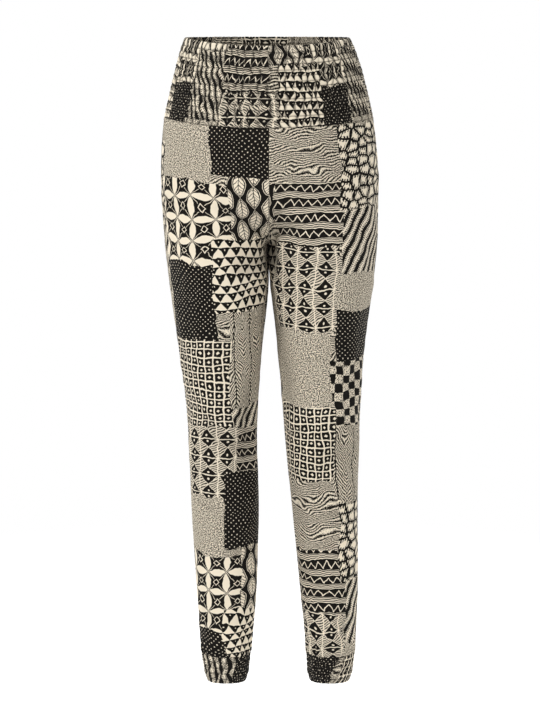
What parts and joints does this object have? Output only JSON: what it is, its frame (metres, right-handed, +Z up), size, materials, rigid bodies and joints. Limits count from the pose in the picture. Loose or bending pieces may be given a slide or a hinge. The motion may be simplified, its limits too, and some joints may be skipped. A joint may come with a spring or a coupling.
{
  "type": "shirred-waist tapered leggings",
  "caption": "Pull-on tapered leggings in light printed cloth, with a deep shirred waistband and shirred ankle cuffs, hollow as worn.",
  "frame": {"origin": "middle of the waist opening, level with the waistband's rim at the side seams, where the wearer's waist holds the garment", "axes": "+Z up along the garment, -Y to the wearer's front, +X to the wearer's left"},
  "size_m": [0.3336, 0.2377, 1.0144],
  "materials": {
    "printed_cloth": "matt",
    "shirred_cloth": "matt"
  },
  "bodies": {
    "root": {"waistband_front": "shirred_cloth", "waistband_back": "shirred_cloth", "leg_front_right": "printed_cloth", "leg_front_left": "printed_cloth", "leg_back_right": "printed_cloth", "leg_back_left": "printed_cloth", "cuff_right": "shirred_cloth", "cuff_left": "shirred_cloth"}
  },
  "joints": []
}
